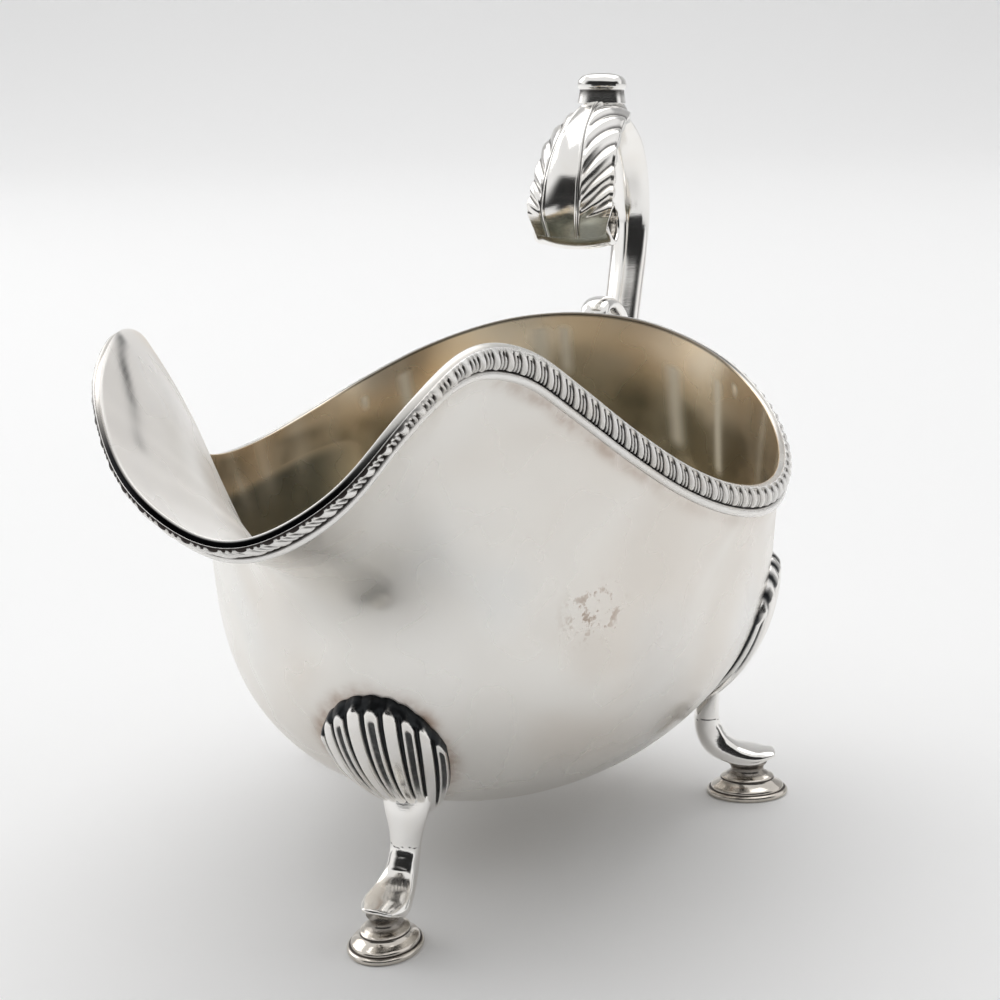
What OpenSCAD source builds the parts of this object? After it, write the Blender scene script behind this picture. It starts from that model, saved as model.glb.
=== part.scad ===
// Silver sauce boat: a raised bowl with a wavy rim, an applied gadroon border, three cast
// shell-and-hoof legs on stepped pads, and a flying scroll handle with a leaf cap.
// Millimetres. +X points to the pouring lip, +Z up, the origin is on the table under the middle.

/* [Rim] */
// Distance of the lip's tip in front of the origin
lip_x = 93.6; // [85:0.1:105]
// Length of the rim from the lip's tip to the handle
rim_len = 150; // [130:1:170]
// Height of the lip's tip above the table
lip_z = 73.6; // [68:0.2:80]
// Height of the two peaks behind the lip
peak_z = 94.3; // [88:0.2:100]
// Half the width between the peaks
peak_half_w = 24; // [20:0.5:28]
// Height of the rim at its lowest, on each side
dip_z = 60.3; // [56:0.2:64]
// Half the width of the rim at its widest
rim_half_w = 45.2; // [40:0.2:50]
// Height of the rim at the handle
back_z = 76.7; // [70:0.2:82]

/* [Bowl] */
// Thickness of the raised sheet
wall = 1.1; // [0.8:0.1:1.6]
// Height of the bowl's fullest section
belly_z = 47; // [42:0.5:52]
// Half the width of the fullest section
belly_half_w = 42.4; // [38:0.2:46]
// Reach of the fullest section in front of its middle
belly_front = 67; // [60:0.5:74]
// Reach of the fullest section behind its middle
belly_back = 42.5; // [38:0.5:46]
// Height of the underside above the table
bowl_z = 7.5; // [6:0.5:12]
// Squareness of the lower curve, 2 is an ellipse
fullness = 2.15; // [2:0.05:2.6]

/* [Gadroon border] */
// Number of lobes round the whole rim
lobes = 124; // [100:2:140]
// Height of the border
border_h = 3.4; // [2.6:0.1:4]
// Depth of the border at the top of a lobe
border_t = 1.35; // [1.1:0.05:1.8]
// Thickness of the moulding wire under the border
wire_d = 1.3; // [1:0.1:1.6]

/* [Legs] */
// Distance of the front foot behind the lip's tip
front_foot = 46.2; // [42:0.2:50]
// Distance of the rear feet behind the lip's tip
rear_foot = 119.5; // [112:0.5:124]
// Half the distance between the rear feet
rear_half_w = 37.7; // [34:0.2:41]
// Way the rear toes point, from straight ahead
rear_turn = 108; // [95:1:125]
// Width of a shell
shell_w = 18.4; // [16:0.2:21]
// Number of ribs on a shell
ribs = 9; // [7:2:11]
// How far the front leg leans to the left of upright, as it was soldered
front_lean = 4; // [0:0.5:6]
// Width of a foot pad
pad_w = 11; // [9:0.2:13]
// Length of a foot pad, along its toe
pad_l = 13.8; // [12:0.2:16]

/* [Handle] */
// Width of the handle's stem
stem_w = 7; // [6:0.2:8.5]
// Thickness of the handle's stem
stem_t = 5.4; // [4.4:0.2:6.5]
// Width of the leaf cap at its widest
leaf_w = 15.6; // [14:0.2:18]

/* [Hidden] */
silver = "silver";
belly_x = lip_x - 108;      // middle of the fullest section
round_steps = 104;          // divisions round the bowl
rise_steps = 15;            // divisions from the bowl's bottom to its rim
gap = 0.06;                 // solder line between two pieces

// ---- vectors and curves ----
function unit(v) = v / max(norm(v), 1e-9);
function mix(a, b, t) = a + (b - a) * t;
function smooth(t) = let(c = min(max(t, 0), 1)) c * c * (3 - 2 * c);
function clampi(i, n) = min(max(i, 0), n - 1);
// Catmull-Rom through a list of points; t runs from 0 at the first to 1 at the last
function spline(p, t) =
    let(n = len(p), s = min(max(t, 0), 0.999999) * (n - 1), i = floor(s), f = s - i,
        a = p[clampi(i - 1, n)], b = p[i], c = p[clampi(i + 1, n)], d = p[clampi(i + 2, n)])
    0.5 * (2 * b + (c - a) * f + (2 * a - 5 * b + 4 * c - d) * f * f
           + (3 * b - a - 3 * c + d) * f * f * f);

// ---- the rim, as stations from the lip to the handle along the left side ----
// each is [distance behind the lip's tip, half width, height]
rim_stations = [
    [0, 0, lip_z],
    [1.8, 12.6, lip_z + 5.8],
    [8.8, peak_half_w * 0.84, peak_z - 5.2],
    [21, peak_half_w, peak_z],
    [34.5, mix(peak_half_w, rim_half_w, 0.16), peak_z - 2.5],
    [46, mix(peak_half_w, rim_half_w, 0.33), mix(dip_z, peak_z, 0.72)],
    [57, mix(peak_half_w, rim_half_w, 0.52), mix(dip_z, peak_z, 0.49)],
    [68.5, mix(peak_half_w, rim_half_w, 0.73), mix(dip_z, peak_z, 0.27)],
    [81, rim_half_w - 2.2, mix(dip_z, peak_z, 0.11)],
    [94.5, rim_half_w - 0.1, dip_z + 0.5],
    [108.5, rim_half_w - 0.5, dip_z],
    [122, rim_half_w - 3.6, mix(dip_z, back_z, 0.13)],
    [134, rim_half_w - 9.6, mix(dip_z, back_z, 0.38)],
    [rim_len - 6.8, rim_half_w - 19, mix(dip_z, back_z, 0.68)],
    [rim_len - 1.6, 13.6, mix(dip_z, back_z, 0.92)],
    [rim_len, 0, back_z]];
rim_n = len(rim_stations);
// the stations with one mirrored point at each end, so that the curve crosses the middle square
rim_loop = concat([[rim_stations[1].x, -rim_stations[1].y, rim_stations[1].z]], rim_stations,
    [[rim_stations[rim_n - 2].x, -rim_stations[rim_n - 2].y, rim_stations[rim_n - 2].z]]);
function half_rim(t) =
    let(s = mix(1, rim_n, t) / (rim_n + 1), p = spline(rim_loop, s)) [lip_x - p.x, p.y, p.z];
// u runs once round the whole rim, 0 at the lip and 0.5 at the handle
function rim(u) =
    let(w = u - floor(u), p = half_rim(w < 0.5 ? 2 * w : 2 - 2 * w)) [p.x, w < 0.5 ? p.y : -p.y, p.z];

// ---- the bowl's inner face ----
// the point of the fullest section that lies below a point of the rim
function belly(r) =
    let(dx = r.x - belly_x, a = dx > 0 ? belly_front : belly_back, q = atan2(r.y / belly_half_w, dx / a))
    [belly_x + a * cos(q), belly_half_w * sin(q), belly_z];
// how far the wall leans outwards where it meets the rim, in degrees from upright
function lean(u) = let(w = u - floor(u), h = w < 0.5 ? 2 * w : 2 - 2 * w)
    h < 0.2 ? mix(62, 38, smooth(h / 0.2)) : mix(38, 8, smooth((h - 0.2) / 0.4));
// v runs from 0 at the bottom, through 0.5 at the fullest section, to 1 at the rim
function wall_point(u, v) =
    let(r = rim(u), b = belly(r))
    v < 0.5 ? lower_wall(b, v * 2) : upper_wall(u, r, b, v * 2 - 1);
function lower_wall(b, s) =
    let(q = s * 90, out = pow(sin(q), 2 / fullness), down = pow(max(cos(q), 0), 2 / fullness))
    [mix(belly_x, b.x, out), b.y * out, belly_z - (belly_z - bowl_z - wall) * down];
function upper_wall(u, r, b, s) =
    let(rise = r - b, k = norm(rise),
        side = unit(let(d = rim(u + 0.004) - rim(u - 0.004)) [d.y, -d.x, 0]),
        leave = [0, 0, k * 0.9],
        arrive = k * 0.9 * (side * sin(lean(u)) + [0, 0, cos(lean(u))]),
        s2 = s * s, s3 = s2 * s)
    b * (2 * s3 - 3 * s2 + 1) + leave * (s3 - 2 * s2 + s) + r * (3 * s2 - 2 * s3) + arrive * (s3 - s2);
// outward normal of the wall
function wall_normal(u, v) =
    let(v1 = min(v + 0.01, 1), v0 = max(v - 0.01, 0.02),
        a = wall_point(u + 0.003, v) - wall_point(u - 0.003, v), b = wall_point(u, v1) - wall_point(u, v0))
    unit(cross(a, b));
function outer_point(u, v) = wall_point(u, v) + wall * wall_normal(u, v);

// ---- solids made of rings of points ----
// a closed or open row of rings, each with the same number of points, counter-clockwise seen
// from the last ring
module skin(rings, closed = false) {
    n = len(rings);
    m = len(rings[0]);
    sides = [for (i = [0 : n - (closed ? 1 : 2)], j = [0 : m - 1])
        let(a = i * m, b = ((i + 1) % n) * m, k = (j + 1) % m)
        each [[a + j, b + j, b + k], [a + j, b + k, a + k]]];
    caps = closed ? [] : [[for (j = [0 : m - 1]) j], [for (j = [m - 1 : -1 : 0]) (n - 1) * m + j]];
    polyhedron([for (r = rings) each r], concat(sides, caps), convexity = 8);
}
// a slab between two grids of points that lie over each other
module slab(back, front) {
    n = len(back);
    m = len(back[0]);
    f = n * m;
    skins = [for (i = [0 : n - 2], j = [0 : m - 2]) let(a = i * m + j, b = a + m)
        each [[a, b, b + 1], [a, b + 1, a + 1], [f + a, f + b + 1, f + b], [f + a, f + a + 1, f + b + 1]]];
    ends = [for (j = [0 : m - 2]) let(b = (n - 1) * m + j)
        each [[j, j + 1, f + j + 1], [j, f + j + 1, f + j], [b, f + b, f + b + 1], [b, f + b + 1, b + 1]]];
    edges = [for (i = [0 : n - 2]) let(a = i * m, b = a + m, c = a + m - 1, d = b + m - 1)
        each [[a, f + a, f + b], [a, f + b, b], [c, d, f + d], [c, f + d, f + c]]];
    polyhedron([for (r = concat(back, front)) each r], concat(skins, ends, edges), convexity = 8);
}
// a flattened tube along a centre line in the plane y = 0; size(t) gives half width and half depth
function tube_rings(path, sizes, steps, sides) =
    [for (i = [0 : steps]) let(t = i / steps, c = spline(path, t),
        d = unit(spline(path, min(t + 0.01, 1)) - spline(path, max(t - 0.01, 0))), s = spline(sizes, t))
        [for (j = [0 : sides - 1]) let(q = j * 360 / sides)
            [c.x - d.y * s.y * cos(q), s.x * sin(q), c.y + d.x * s.y * cos(q)]]];

// ---- bowl ----
module bowl() {
    color(silver) {
        levels = [for (i = [0 : rise_steps]) i == 0 ? 0.03 : i / rise_steps];
        outer = [for (v = levels) [for (j = [0 : round_steps - 1]) outer_point(j / round_steps, v)]];
        inner = [for (i = [rise_steps : -1 : 0])
            [for (j = [0 : round_steps - 1]) wall_point(j / round_steps, levels[i])]];
        skin(concat(outer, inner));
    }
}

// ---- border and wire: profiles in the wall's own frame at the rim ----
// out is measured from the wall's outer face and up along the wall, from the rim's edge
function at_rim(u, out, up) =
    let(n = wall_normal(u, 0.99), s = unit(wall_point(u, 1) - wall_point(u, 0.97)))
    rim(u) + (wall + out) * n + s * up;
module gadroon_border() {
    color(silver) {
        per_lobe = 3;
        n = lobes * per_lobe;
        skin([for (i = [0 : n - 1]) let(u = i / n, swell = [1, 0.8, 0.5][i % per_lobe], t = border_t * swell)
            [at_rim(u, gap, 0.5), at_rim(u, gap, -border_h), at_rim(u, t * 0.55, -border_h),
             at_rim(u, t, -border_h * 0.62), at_rim(u, t, -border_h * 0.25), at_rim(u, t * 0.6, 0.45)]],
            closed = true);
    }
}
module rim_wire() {
    color(silver)
        skin([for (i = [0 : round_steps - 1]) let(u = i / round_steps, r = wire_d / 2)
            [for (q = [0 : 60 : 300]) at_rim(u, gap + r * (0.87 + cos(q)) * 0.9,
                -border_h - r - gap + r * sin(q))]], closed = true);
}

// ---- legs ----
foot_at = [[lip_x - front_foot, 0, 0], [lip_x - rear_foot, rear_half_w, 0], [lip_x - rear_foot, -rear_half_w, 0]];
foot_turn = [0, rear_turn, -rear_turn];
// where the shell's middle line sits round the bowl, for each leg
shell_u = [0.005, 0.364, 0.636];
shell_spread = [205, 330, 330]; // millimetres round the wall for a whole turn of u, at each leg
shell_top = [0.462, 0.482, 0.482]; // level of the shell's upper edge on the wall
shell_tip = 0.23;           // level of its pointed lower end
module shell(leg) {
    color(silver) {
        across = 18;
        down = 8;
        face = [for (i = [0 : down]) let(t = i / down)
            [for (j = [0 : across]) let(x = j / across * 2 - 1,
                spread = (0.12 + 0.88 * pow(sin(90 * min(1, t * 1.15)), 0.8)) * shell_w / 2,
                top = mix(shell_tip, shell_top[leg], t) - 0.07 * t * x * x,
                turn = x * spread / shell_spread[leg],
                rib = 0.25 * cos(x * ribs * 180) * t,
                thick = 0.8 + 2.1 * (1 - x * x) * sin(33 + 125 * t) + rib)
                [shell_u[leg] + turn, top, thick]]];
        back = [for (row = face) [for (c = row) outer_point(c[0], c[1]) + gap * wall_normal(c[0], c[1])]];
        front = [for (row = face) [for (c = row)
            outer_point(c[0], c[1]) + c[2] * wall_normal(c[0], c[1])]];
        slab(back, front);
    }
}
// centre line of a leg, outward distance from its foot and height, and its half width and depth
leg_top = [[[-6.7, 22.4], [-6.5, 18.8]], [[-5.4, 20], [-6.1, 18.2]]];
leg_line = [[-6.9, 15], [-6.8, 11.7], [-5.4, 8.9], [-2.6, 7.5], [1, 7], [4.2, 7.3]];
leg_size = [[3.9, 0.8], [3.4, 1.4], [2.5, 2.05], [2.25, 2.1], [2.5, 2.1], [3.1, 1.9], [3.6, 1.4], [2.4, 0.5]];
module leg(i) {
    color(silver) translate(foot_at[i]) rotate(foot_turn[i]) rotate([i == 0 ? -front_lean : 0, 0, 0])
        skin(tube_rings(concat(leg_top[min(i, 1)], leg_line), leg_size, 18, 12));
}
// levels of a foot pad, each its height and its width as a part of the widest
pad_levels = [[0, 0.97], [0.5, 1], [1, 0.94], [1.1, 0.9], [1.85, 0.81], [2.4, 0.69], [3, 0.65], [3.8, 0.45],
    [4.7, 0.41], [5.15, 0.44]];
module foot_pad(i) {
    color(silver) translate(foot_at[i]) rotate(foot_turn[i])
        skin([for (p = pad_levels) [for (q = [0 : 15 : 345])
            [pad_l / 2 * p[1] * cos(q), pad_w / 2 * p[1] * sin(q), p[0]]]]);
}

// ---- handle, in the plane y = 0; x is measured from the rim's back edge ----
back_x = lip_x - rim_len;
// centre line of the stem, from the wall behind up to the thumb rest
stem_line = [[-3.4, 50], [-10, 50.6], [-17, 54.6], [-22.9, 64], [-28.6, 75], [-32.6, 83.5], [-34, 90.8],
    [-31.8, 98.6], [-26.2, 105.2], [-18, 109.8]];
stem_size = [[2.9, 2.6], [3.1, 2.6], [3.3, 2.7], [3.5, 2.7], [3.5, 2.7], [3.6, 2.7], [3.8, 2.8],
    [4.1, 2.7], [4.4, 2.3], [4.4, 1.6]];
module at_back() translate([back_x, 0, 0]) children();
module handle_scroll() {
    color(silver) at_back()
        skin(tube_rings(stem_line, [for (s = stem_size) [s.x * stem_w / 7, s.y * stem_t / 5.4]], 36, 14));
}
// the leaf, from the thumb rest forwards and down over the bowl
leaf_line = [[-17.6, 112.8], [-9, 111.8], [-0.8, 108], [3.9, 102.2], [5.1, 97.4],
    [4.8, 94.2], [3.7, 92]];
module handle_leaf_cap() {
    color(silver) at_back() {
        steps = 16;
        across = 10;
        rings = [for (i = [0 : steps]) let(t = i / steps, c = spline(leaf_line, t),
            d = unit(spline(leaf_line, min(t + 0.02, 1)) - spline(leaf_line, max(t - 0.02, 0))),
            w = leaf_w / 2 * (0.6 + 0.4 * sin(min(t * 1.35, 1) * 90)) * (1 - 0.16 * max(0, t - 0.7) / 0.3))
            concat([for (j = [0 : across]) let(x = j / across * 2 - 1) leaf_point(c, d, x, w, 1.5)],
                [for (j = [across : -1 : 0]) let(x = j / across * 2 - 1) leaf_point(c, d, x, w, 0)])];
        skin(rings);
    }
}
// a point across the leaf, which arches from side to side
function leaf_point(c, d, x, w, lift) =
    let(arch = -3.6 * x * x + lift) [c.x - d.y * arch, x * w, c.y + d.x * arch];
// the rolled end under the leaf, a tapering coil
volute_line = [[3.4, 91.4], [2.1, 90.2], [0.1, 89.9], [-2, 91.8], [-2.1, 94.6], [-0.1, 96.2], [1.6, 95.4]];
volute_size = [[7, 0.6], [7.4, 0.7], [7.4, 0.75], [7.2, 0.7], [6.9, 0.6], [6.5, 0.55], [6, 0.45]];
module handle_volute() {
    color(silver) at_back() skin(tube_rings(volute_line, volute_size, 20, 12));
}
module thumb_rest() {
    color(silver) at_back() translate([-14.8, 0, 113.9]) rotate([0, -6, 0])
        skin([for (p = [[-0.4, 1.02], [0.4, 0.97], [1.2, 0.93], [2.1, 1.01], [3, 1], [4, 0.84], [4.5, 0.6]])
            [for (q = [0 : 20 : 340]) [3.4 * p[1] * cos(q), 4.3 * p[1] * sin(q), p[0]]]]);
}
// the small scroll that springs from the stem towards the rim
spur_line = [[-24, 70.5], [-20.6, 73.4], [-16.6, 75.4], [-12.6, 75], [-11.6, 72.2], [-13.6, 71]];
spur_size = [[2.6, 1.2], [2.9, 1.3], [2.9, 1.4], [2.7, 1.4], [2.5, 1.2], [2, 0.8]];
module spur_scroll() {
    color(silver) at_back() skin(tube_rings(spur_line, spur_size, 14, 10));
}

bowl();
gadroon_border();
rim_wire();
handle_scroll();
handle_leaf_cap();
handle_volute();
thumb_rest();
spur_scroll();
shell(0);  // front_shell
leg(0);  // front_leg
foot_pad(0);  // front_foot_pad
shell(1);  // left_shell
leg(1);  // left_leg
foot_pad(1);  // left_foot_pad
shell(2);  // right_shell
leg(2);  // right_leg
foot_pad(2);  // right_foot_pad
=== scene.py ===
import math

import bpy
import numpy as np
from mathutils import Matrix, Vector
from mathutils.kdtree import KDTree


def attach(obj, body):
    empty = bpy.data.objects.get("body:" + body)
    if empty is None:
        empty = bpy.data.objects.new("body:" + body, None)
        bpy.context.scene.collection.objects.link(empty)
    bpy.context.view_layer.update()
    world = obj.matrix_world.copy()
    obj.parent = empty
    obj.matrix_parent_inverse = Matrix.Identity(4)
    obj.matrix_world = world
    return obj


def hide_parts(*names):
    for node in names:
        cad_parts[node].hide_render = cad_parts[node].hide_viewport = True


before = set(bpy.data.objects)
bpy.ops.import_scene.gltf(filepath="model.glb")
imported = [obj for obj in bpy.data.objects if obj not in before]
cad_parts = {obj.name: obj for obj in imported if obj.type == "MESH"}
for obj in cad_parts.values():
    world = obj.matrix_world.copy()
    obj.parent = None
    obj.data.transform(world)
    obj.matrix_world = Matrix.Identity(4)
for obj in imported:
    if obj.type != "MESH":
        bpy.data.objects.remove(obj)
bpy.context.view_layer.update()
MM = 0.001

# ---------------------------------------------------------------- design values, in millimetres, as in the CAD
LIP_X = 93.6
RIM_LEN = 150.0
LIP_Z, PEAK_Z, DIP_Z, BACK_Z = 73.6, 94.3, 60.3, 76.7
PEAK_W, RIM_W = 24.0, 45.2
WALL = 1.1
BELLY_X, BELLY_Z, BELLY_W, BELLY_FRONT, BELLY_BACK = LIP_X - 108.0, 47.0, 42.4, 67.0, 42.5
BOWL_Z, FULLNESS = 7.5, 2.15
LOBES, BORDER_H, BORDER_T = 124, 3.4, 1.35
RIM_FACE = 1.45
FRONT_FOOT, REAR_FOOT, REAR_HALF_W, REAR_TURN = 46.2, 119.5, 37.7, 108.0
FRONT_LEAN = 4.0
SHELL_W = 18.4
PAD_W, PAD_L = 11.0, 13.8
BACK_X = LIP_X - RIM_LEN


# ---------------------------------------------------------------- curves
def mix(a, b, t):
    return a + (b - a) * t


def smooth(t):
    c = np.clip(t, 0.0, 1.0)
    return c * c * (3.0 - 2.0 * c)


def unit(v):
    return v / np.maximum(np.linalg.norm(v, axis=-1, keepdims=True), 1e-12)


def spline(points, t):
    """Catmull-Rom through a list of points, t from 0 to 1."""
    p = np.asarray(points, float)
    n = len(p)
    s = np.clip(np.asarray(t, float), 0.0, 0.999999) * (n - 1)
    i = np.floor(s).astype(int)
    f = (s - i)[..., None]
    a, b = p[np.clip(i - 1, 0, n - 1)], p[i]
    c, d = p[np.clip(i + 1, 0, n - 1)], p[np.clip(i + 2, 0, n - 1)]
    return 0.5 * (2 * b + (c - a) * f + (2 * a - 5 * b + 4 * c - d) * f**2 + (3 * b - a - 3 * c + d) * f**3)


def fair_loop(points, sigma):
    """Softens a closed row of points along its length; sigma is in samples."""
    n = len(points)
    k = np.arange(n)
    k = np.minimum(k, n - k)
    kernel = np.exp(-0.5 * (k / sigma) ** 2)
    kernel /= kernel.sum()
    spectrum = np.fft.fft(kernel)[(slice(None),) + (None,) * (points.ndim - 1)]
    return np.real(np.fft.ifft(np.fft.fft(points, axis=0) * spectrum, axis=0))


def rim_stations():
    """The left half of the rim, each point as distance back from the lip, half width and height."""
    lerp_w = lambda t: mix(PEAK_W, RIM_W, t)
    lerp_z = lambda t: mix(DIP_Z, PEAK_Z, t)
    rise_z = lambda t: mix(DIP_Z, BACK_Z, t)
    return [
        (0.0, 0.0, LIP_Z), (1.8, 12.6, LIP_Z + 5.8), (8.8, PEAK_W * 0.84, PEAK_Z - 5.2), (21.0, PEAK_W, PEAK_Z),
        (34.5, lerp_w(0.16), PEAK_Z - 2.5), (46.0, lerp_w(0.33), lerp_z(0.72)), (57.0, lerp_w(0.52), lerp_z(0.49)),
        (68.5, lerp_w(0.73), lerp_z(0.27)), (81.0, RIM_W - 2.2, lerp_z(0.11)), (94.5, RIM_W - 0.1, DIP_Z + 0.5),
        (108.5, RIM_W - 0.5, DIP_Z), (122.0, RIM_W - 3.6, rise_z(0.13)), (134.0, RIM_W - 9.6, rise_z(0.38)),
        (RIM_LEN - 6.8, RIM_W - 19.0, rise_z(0.68)), (RIM_LEN - 1.6, 13.6, rise_z(0.92)), (RIM_LEN, 0.0, BACK_Z),
    ]


def rim_curve(count):
    """The rim's inner edge as count points, evenly spaced along its length, from the lip round the left side."""
    half = rim_stations()
    loop = half + [(b, -w, z) for b, w, z in reversed(half[1:-1])]
    n = len(loop)
    wrapped = [loop[-1]] + loop + loop[:2]
    t = (1 + np.arange(6000) / 6000 * n) / (len(wrapped) - 1)
    p = spline(wrapped, t)
    p = np.stack([LIP_X - p[:, 0], p[:, 1], p[:, 2]], 1)
    p = fair_loop(p, 28)
    p = resample_loop(p, 4096)
    p = fair_loop(p, 16)
    p[:, 1] = 0.5 * (p[:, 1] - np.roll(p[::-1, 1], 1))
    p[:, 0] = 0.5 * (p[:, 0] + np.roll(p[::-1, 0], 1))
    p[:, 2] = 0.5 * (p[:, 2] + np.roll(p[::-1, 2], 1))
    return resample_loop(p, count)


def resample_loop(p, count):
    """A closed row of points, taken again at count even places along its length."""
    closed = np.vstack([p, p[:1]])
    s = np.concatenate([[0], np.cumsum(np.linalg.norm(np.diff(closed, axis=0), axis=1))])
    at = np.arange(count) / count * s[-1]
    return np.stack([np.interp(at, s, closed[:, k]) for k in range(3)], 1)


# ---------------------------------------------------------------- the bowl's wall
NU, NV = 744, 150
rim = rim_curve(NU)
u_axis = np.arange(NU) / NU
half_u = np.minimum(u_axis, 1 - u_axis) * 2


def build_wall():
    """Grid of the inner face: NV + 1 levels from the bottom (0) to the rim, NU points round."""
    r = rim
    dx = r[:, 0] - BELLY_X
    a = np.where(dx > 0, BELLY_FRONT, BELLY_BACK)
    q = np.unwrap(np.arctan2(r[:, 1] / BELLY_W, dx / a))
    b = np.stack([BELLY_X + np.where(np.cos(q) > 0, BELLY_FRONT, BELLY_BACK) * np.cos(q), BELLY_W * np.sin(q),
                  np.full(NU, BELLY_Z)], 1)
    tangent = np.roll(r, -3, 0) - np.roll(r, 3, 0)
    side = unit(np.stack([tangent[:, 1], -tangent[:, 0], np.zeros(NU)], 1))
    # how far the wall leans out at the rim, in degrees
    at_lip, at_peak, at_back = 62, 38, 8
    lean = np.where(half_u < 0.2, mix(at_lip, at_peak, smooth(half_u / 0.2)),
                    mix(at_peak, at_back, smooth((half_u - 0.2) / 0.4)))
    lean = np.radians(fair_loop(lean, NU / 60))[:, None]
    pull = 0.9
    k = np.linalg.norm(r - b, axis=1)[:, None]
    leave = np.concatenate([np.zeros((NU, 2)), k * pull], 1)
    arrive = k * pull * (side * np.sin(lean) + np.array([0, 0, 1.0]) * np.cos(lean))
    rows = []
    for v in np.linspace(0, 1, NV + 1):
        if v < 0.5:
            angle = math.radians(v * 180)
            out, down = math.sin(angle) ** (2 / FULLNESS), math.cos(angle) ** (2 / FULLNESS)
            rows.append(np.stack([mix(BELLY_X, b[:, 0], out), b[:, 1] * out,
                                  np.full(NU, BELLY_Z - (BELLY_Z - BOWL_Z - WALL) * down)], 1))
        else:
            s = v * 2 - 1
            s2, s3 = s * s, s**3
            rows.append(b * (2 * s3 - 3 * s2 + 1) + leave * (s3 - 2 * s2 + s) + r * (3 * s2 - 2 * s3)
                        + arrive * (s3 - s2))
    grid = np.array(rows)
    # soften the join at the fullest section: mirror through the pole below, point reflection past the rim
    pad, blur = 30, 7.0
    below = np.roll(grid[1:pad + 1], NU // 2, axis=1)[::-1]
    above = 2 * grid[-1:] - grid[-2:-pad - 2:-1]
    tall = np.concatenate([below, grid, above])
    kernel = np.exp(-0.5 * (np.arange(-pad, pad + 1) / blur) ** 2)
    kernel /= kernel.sum()
    grid = np.apply_along_axis(lambda c: np.convolve(c, kernel, mode="valid"), 0, tall)
    # bring every column to one point at the bottom
    level = np.linspace(0, 1, NV + 1)[:, None, None]
    grid = grid + (grid[0].mean(0) - grid[0])[None] * (1 - smooth(level / 0.2))
    grid[0] = grid[0].mean(0)
    return grid


wall_in = build_wall()


def grid_normals(g):
    """Outward normals of the wall's grid."""
    du = np.roll(g, -1, 1) - np.roll(g, 1, 1)
    dv = np.gradient(g, axis=0)
    n = unit(np.cross(du, dv))
    n[0] = (0, 0, -1)
    n[1] = unit(n[1] + np.array([0, 0, -1.0]))
    return n


wall_n = grid_normals(wall_in)
wall_out = wall_in + WALL * wall_n


def on_wall(u, v, lift=0.0):
    """Points of the outer face, lifted off it; u round the rim from the lip, v from the bottom to the rim."""
    u, v = np.broadcast_arrays(np.asarray(u, float) % 1.0, np.clip(np.asarray(v, float), 0, 1))
    iu, iv = u * NU, v * NV
    i0, j0 = np.floor(iu).astype(int) % NU, np.minimum(np.floor(iv).astype(int), NV - 1)
    fu, fv = (iu - np.floor(iu))[..., None], (iv - j0)[..., None]
    i1, j1 = (i0 + 1) % NU, j0 + 1

    def pick(g):
        return ((g[j0, i0] * (1 - fu) + g[j0, i1] * fu) * (1 - fv) + (g[j1, i0] * (1 - fu) + g[j1, i1] * fu) * fv)

    return pick(wall_out) + unit(pick(wall_n)) * np.asarray(lift, float)[..., None]


# ---------------------------------------------------------------- meshes
def make_mesh(name, verts, faces, attrs, node, slot, material):
    """A smooth mesh from points in millimetres; attrs give each point values from 0 to 1 that the material reads."""
    mesh = bpy.data.meshes.new(name)
    mesh.from_pydata((np.asarray(verts) * MM).tolist(), [], [tuple(int(i) for i in f) for f in faces])
    mesh.validate()
    mesh.update()
    mesh.polygons.foreach_set("use_smooth", [True] * len(mesh.polygons))
    for key, values in attrs.items():
        layer = mesh.attributes.new(key, "FLOAT", "POINT")
        layer.data.foreach_set("value", np.clip(np.asarray(values, np.float32).ravel(), 0, 1))
    obj = bpy.data.objects.new(name, mesh)
    bpy.context.scene.collection.objects.link(obj)
    mesh.materials.append(material)
    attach(obj, "root")
    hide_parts(node)


def grid_faces(rows, cols, close_cols=False, close_rows=False, start=0, flip=False):
    """Quads of a grid stored row by row."""
    i = np.arange(rows if close_rows else rows - 1)[:, None]
    j = np.arange(cols if close_cols else cols - 1)[None, :]
    i2, j2 = (i + 1) % rows, (j + 1) % cols
    quads = np.stack([i * cols + j, i * cols + j2, i2 * cols + j2, i2 * cols + j], -1).reshape(-1, 4) + start
    return quads[:, ::-1] if flip else quads


def slab_mesh(name, front, back, attrs, **kw):
    """A closed plate from two grids of points of the same size; front looks out of the object."""
    rows, cols = front.shape[:2]
    verts = np.concatenate([front.reshape(-1, 3), back.reshape(-1, 3)])
    off = rows * cols
    faces = grid_faces(rows, cols).tolist() + grid_faces(rows, cols, start=off, flip=True).tolist()
    loop = list(range(cols)) + [i * cols + cols - 1 for i in range(1, rows)]
    loop += [(rows - 1) * cols + j for j in range(cols - 2, -1, -1)] + [i * cols for i in range(rows - 2, 0, -1)]
    faces += [(b, a, a + off, b + off) for a, b in zip(loop, loop[1:] + loop[:1])]
    make_mesh(name, verts, faces, attrs, **kw)


# ---------------------------------------------------------------- materials
def new_material(name):
    """A bare metal shader to build on."""
    mat = bpy.data.materials.new(name)
    mat.use_nodes = True
    tree = mat.node_tree
    tree.nodes.clear()
    out = tree.nodes.new("ShaderNodeOutputMaterial")
    bsdf = tree.nodes.new("ShaderNodeBsdfPrincipled")
    tree.links.new(bsdf.outputs["BSDF"], out.inputs["Surface"])
    bsdf.inputs["Metallic"].default_value = 1.0
    return mat, tree, bsdf


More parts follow.
